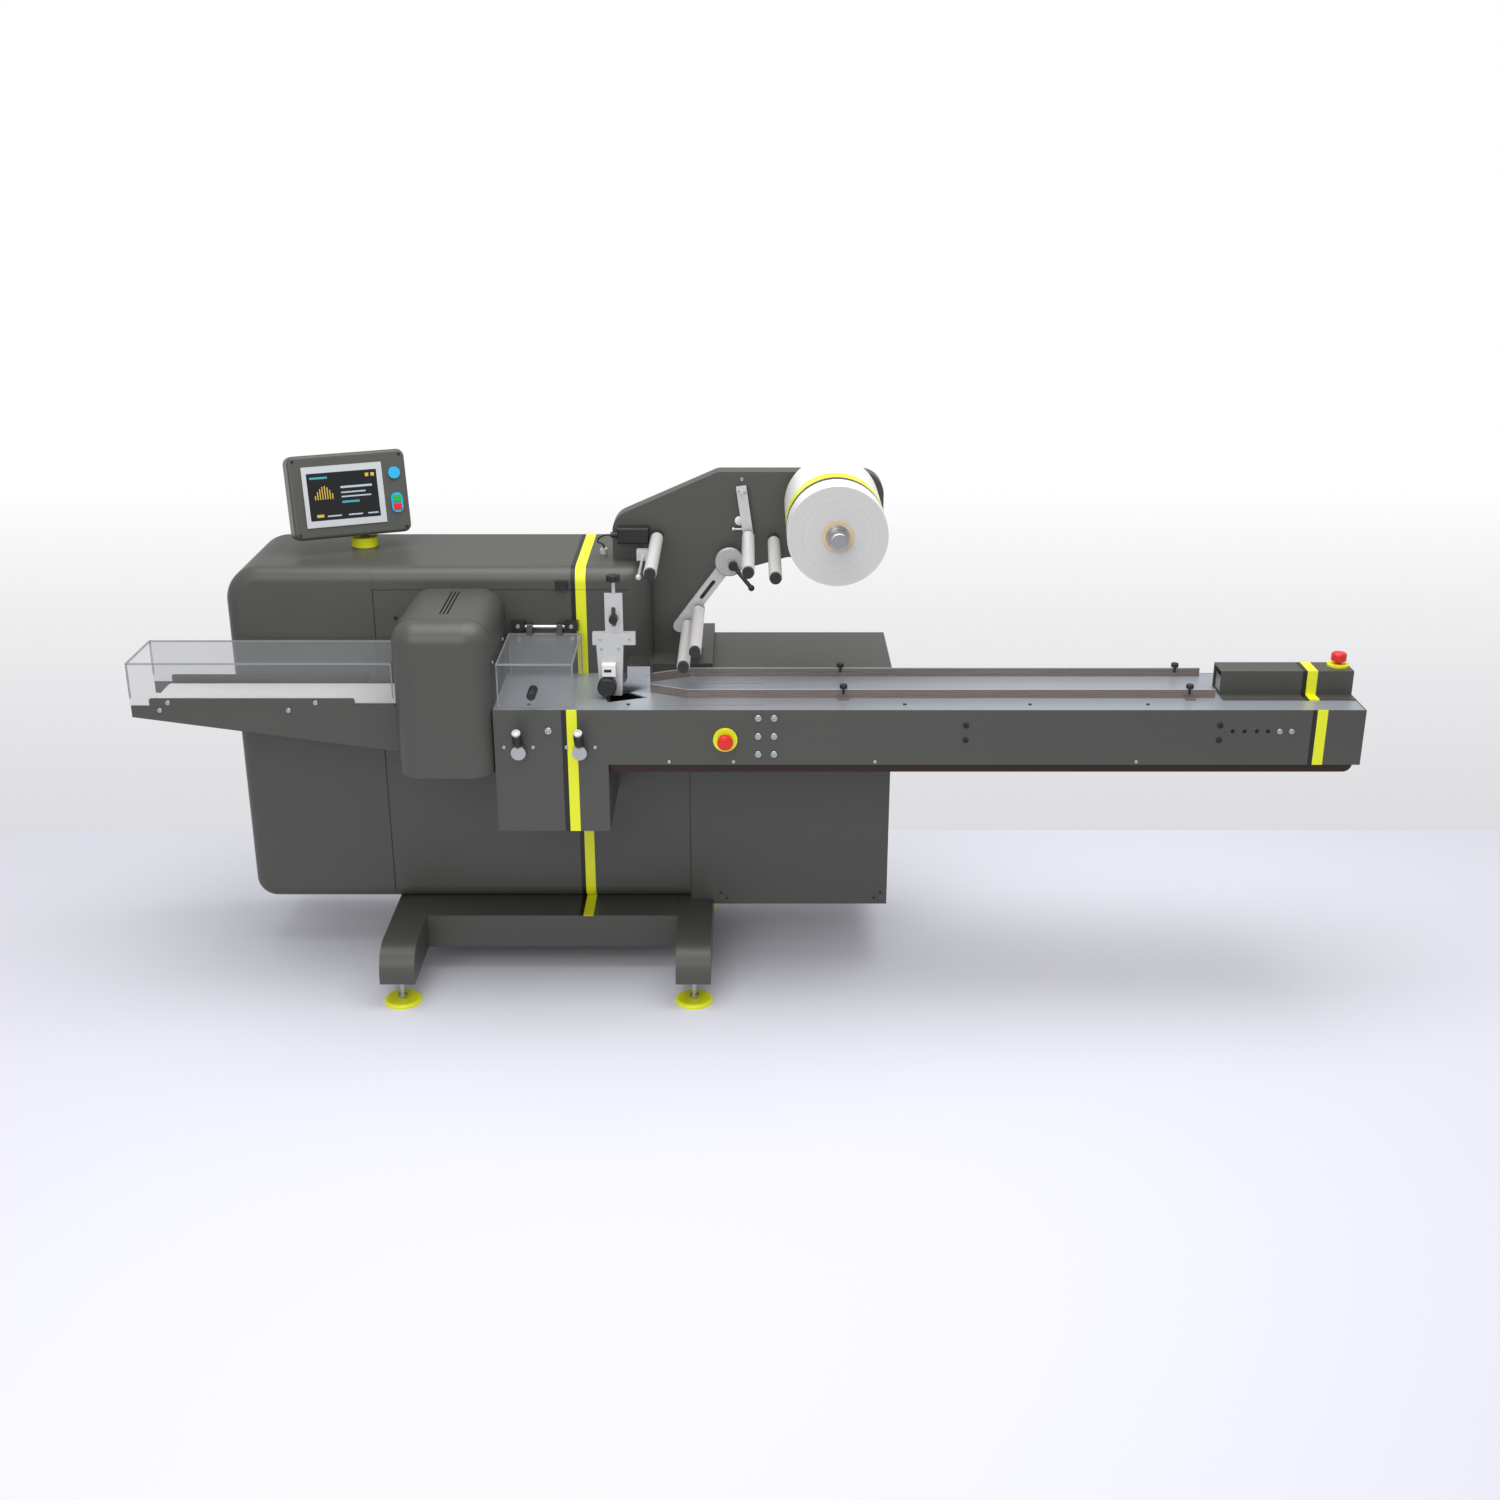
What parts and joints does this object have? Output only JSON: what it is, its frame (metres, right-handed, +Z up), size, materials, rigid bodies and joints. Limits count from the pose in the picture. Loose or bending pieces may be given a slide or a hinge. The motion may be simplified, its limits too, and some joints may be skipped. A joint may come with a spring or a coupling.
{
  "type": "horizontal_flow_wrapper",
  "caption": "Horizontal flow wrapper with film reel, forming box, sealing jaws under a cover, clear guards and a swivelling operator panel",
  "frame": {"origin": "middle of the whole machine at floor level", "axes": "+X towards the infeed end, +Y away from the operator, +Z up"},
  "size_m": [3.358, 0.7794, 1.508],
  "materials": {
    "charcoal_paint": "satin",
    "yellow_paint": "satin",
    "stainless": "brushed",
    "black_plastic": "matte",
    "clear_plastic": "gloss",
    "film_white": "gloss",
    "cardboard_core": "matte",
    "aluminium": "satin",
    "belt_white": "matte",
    "red_plastic": "gloss",
    "silver_panel": "satin",
    "brown_steel": "satin"
  },
  "bodies": {
    "machine": {"legs": "charcoal_paint", "crossbeams": "charcoal_paint", "foot_pads": "yellow_paint", "foot_stems": "stainless", "left_housing": "charcoal_paint", "hood": "charcoal_paint", "right_housing": "charcoal_paint", "hood_latch": "black_plastic", "electrical_cabinet": "charcoal_paint", "cabinet_cover": "charcoal_paint", "reel_plinth": "charcoal_paint", "reel_plate": "charcoal_paint", "arm_clamp": "aluminium", "film_sensor": "black_plastic", "sensor_bracket": "stainless", "sensor_lead": "black_plastic", "infeed_front_plate": "charcoal_paint", "infeed_frame": "charcoal_paint", "infeed_pan": "brown_steel", "front_deck": "stainless", "lane_deck": "stainless", "lane_guides": "stainless", "guide_knobs": "black_plastic", "end_cover": "charcoal_paint", "stop_collars": "yellow_paint", "carrier_chain": "stainless", "forming_box": "stainless", "former_knobs": "black_plastic", "position_indicator": "black_plastic", "former_slide": "aluminium", "sealing_box": "charcoal_paint", "sealing_deck": "stainless", "guard_hinge": "stainless", "jaw_cover": "charcoal_paint", "sealing_jaws": "stainless", "outfeed_side_plates": "stainless", "outfeed_rollers": "stainless", "outfeed_belt": "belt_white", "tunnel_cover": "clear_plastic", "panel_swivel": "yellow_paint"},
    "film_reel": {"film_roll": "film_white", "film_core": "cardboard_core", "reel_mandrel": "stainless"},
    "dancer": {"dancer_arm": "charcoal_paint"},
    "lower_arm": {"roller_arm": "charcoal_paint"},
    "clear_cover": {"clear_guard": "clear_plastic", "guard_fittings": "black_plastic"},
    "operator_panel": {"panel_housing": "charcoal_paint", "panel_screen": "silver_panel", "panel_buttons": "black_plastic"},
    "left_crank": {"crank_left": "stainless"},
    "right_crank": {"crank_right": "stainless"},
    "front_stop": {"front_stop_button": "red_plastic"},
    "end_stop": {"end_stop_button": "red_plastic"},
    "indicator_knob": {"hand_knob": "black_plastic"},
    "roller_a": {"guide_roller_a": "aluminium"},
    "roller_b": {"guide_roller_b": "aluminium"},
    "roller_c": {"guide_roller_c": "aluminium"},
    "roller_d": {"guide_roller_d": "aluminium"},
    "roller_e": {"guide_roller_e": "aluminium"}
  },
  "joints": [
    {"name": "film_reel_spin", "type": "hinge", "parent": "machine", "child": "film_reel", "pos_m": [0.248, -0.1273, 1.376], "axis": [0, 1, 0], "continuous": true},
    {"name": "roller_a_spin", "type": "hinge", "parent": "machine", "child": "roller_a", "pos_m": [-0.242, -0.1273, 1.277], "axis": [0, 1, 0], "continuous": true},
    {"name": "roller_b_spin", "type": "hinge", "parent": "dancer", "child": "roller_b", "pos_m": [0.015, -0.1273, 1.281], "axis": [0, 1, 0], "continuous": true},
    {"name": "roller_c_spin", "type": "hinge", "parent": "lower_arm", "child": "roller_c", "pos_m": [-0.127, -0.1273, 1.064], "axis": [0, 1, 0], "continuous": true},
    {"name": "roller_d_spin", "type": "hinge", "parent": "lower_arm", "child": "roller_d", "pos_m": [-0.158, -0.1273, 1.022], "axis": [0, 1, 0], "continuous": true},
    {"name": "roller_e_spin", "type": "hinge", "parent": "machine", "child": "roller_e", "pos_m": [0.087, -0.1273, 1.266], "axis": [0, 1, 0], "continuous": true},
    {"name": "dancer_swing", "type": "hinge", "parent": "machine", "child": "dancer", "pos_m": [-0.003, 0.0857, 1.405], "axis": [0, 1, 0], "range_deg": [-12, 20]},
    {"name": "lower_arm_swing", "type": "hinge", "parent": "machine", "child": "lower_arm", "pos_m": [-0.038, 0.0857, 1.206], "axis": [0, 1, 0], "range_deg": [-12, 8]},
    {"name": "guard_lift", "type": "hinge", "parent": "machine", "child": "clear_cover", "pos_m": [-0.558, -0.0213, 1.043], "axis": [-1, 0, 0], "range_deg": [0, 80]},
    {"name": "panel_turn", "type": "hinge", "parent": "machine", "child": "operator_panel", "pos_m": [-1.107, 0.2587, 1.227], "axis": [0, 0, 1], "range_deg": [-45, 45]},
    {"name": "left_crank_turn", "type": "hinge", "parent": "machine", "child": "left_crank", "pos_m": [-0.605, -0.3243, 0.788], "axis": [0, 1, 0], "range_deg": [-90, 90]},
    {"name": "right_crank_turn", "type": "hinge", "parent": "machine", "child": "right_crank", "pos_m": [-0.44, -0.3243, 0.788], "axis": [0, 1, 0], "range_deg": [-90, 90]},
    {"name": "indicator_knob_turn", "type": "hinge", "parent": "machine", "child": "indicator_knob", "pos_m": [-0.371, -0.2173, 0.932], "axis": [0, 1, 0], "continuous": true},
    {"name": "front_stop_push", "type": "slide", "parent": "machine", "child": "front_stop", "axis": [0, 1, 0], "range_m": [0, 0.004], "stiffness_N_per_m": 1500},
    {"name": "end_stop_push", "type": "slide", "parent": "machine", "child": "end_stop", "axis": [0, 0, -1], "range_m": [0, 0.004], "stiffness_N_per_m": 1500}
  ]
}
